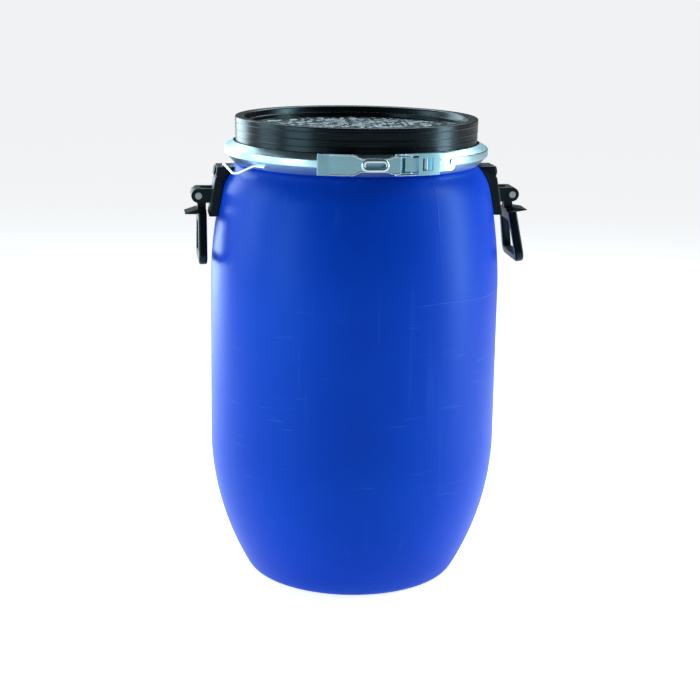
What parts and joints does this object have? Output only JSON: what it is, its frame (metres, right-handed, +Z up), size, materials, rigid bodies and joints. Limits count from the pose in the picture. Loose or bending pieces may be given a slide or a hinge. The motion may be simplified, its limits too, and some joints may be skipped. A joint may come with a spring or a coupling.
{
  "type": "open head drum",
  "caption": "Open head plastic drum with a rimmed lid, a steel clamp ring closed by a toggle lever, and hinged carrying grips on the shoulder.",
  "frame": {"origin": "centre of the base, on the surface that the drum stands on", "axes": "+Z up along the drum's axis; -Y to the front, where the lever closure is; the two handles lie on the X axis"},
  "size_m": [0.4636, 0.3908, 0.63],
  "materials": {
    "blue_plastic": "satin moulded polyethylene, blue",
    "lid_plastic": "glossy moulded polyethylene, black",
    "black_plastic": "semi-gloss moulded plastic, black",
    "gasket_rubber": "matt rubber",
    "zinc_steel": "zinc plated sheet steel",
    "wire_steel": "bright zinc plated wire",
    "steel_pin": "bright steel"
  },
  "bodies": {
    "drum": {"drum_shell": "blue_plastic", "handle_bracket_left": "black_plastic", "handle_bracket_right": "black_plastic", "bracket_studs_left": "black_plastic", "bracket_studs_right": "black_plastic", "grip_pin_left": "steel_pin", "grip_pin_right": "steel_pin"},
    "handle_left": {"grip_left": "black_plastic"},
    "handle_right": {"grip_right": "black_plastic"},
    "lid": {"lid_shell": "lid_plastic", "lid_gasket": "gasket_rubber"},
    "ring": {"ring_band_left": "zinc_steel", "anchor_bracket": "zinc_steel", "anchor_rivets": "steel_pin", "lever_pin": "steel_pin", "retaining_wire": "wire_steel"},
    "ring_right": {"ring_band_right": "zinc_steel", "catch_bracket": "zinc_steel", "catch_rivets": "steel_pin"},
    "lever": {"lever": "zinc_steel"},
    "link": {"toggle_link": "zinc_steel", "link_pin": "steel_pin", "hook_pin": "steel_pin"}
  },
  "joints": [
    {"name": "lid_lift", "type": "slide", "parent": "drum", "child": "lid", "axis": [0, 0, 1], "range_m": [0, 0.1]},
    {"name": "ring_lift", "type": "slide", "parent": "drum", "child": "ring", "axis": [0, 0, 1], "range_m": [0, 0.2]},
    {"name": "lever_swing", "type": "hinge", "parent": "ring", "child": "lever", "pos_m": [0.04256, -0.17592, 0.587], "axis": [0, 0, 1], "range_deg": [0, 140], "deforming": ["ring_band_left", "ring_band_right"]},
    {"name": "ring_right_open", "type": "hinge", "parent": "ring", "child": "ring_right", "pos_m": [0, 0.176, 0.5828], "axis": [0, 0, 1], "range_deg": [0, 4.6]},
    {"name": "link_turn", "type": "hinge", "parent": "lever", "child": "link", "pos_m": [0.02707, -0.17896, 0.587], "axis": [0, 0, 1], "range_deg": [-128, 0]},
    {"name": "handle_left_swing", "type": "hinge", "parent": "drum", "child": "handle_left", "pos_m": [-0.212, 0, 0.5265], "axis": [0, 1, 0], "range_deg": [-3, 95]},
    {"name": "handle_right_swing", "type": "hinge", "parent": "drum", "child": "handle_right", "pos_m": [0.212, 0, 0.5265], "axis": [0, -1, 0], "range_deg": [-12, 86]}
  ],
  "couplings": [
    {"joint": "ring_right_open", "follows": "lever_swing", "ratio": 0.029863},
    {"joint": "link_turn", "follows": "lever_swing", "ratio": -0.88177}
  ]
}
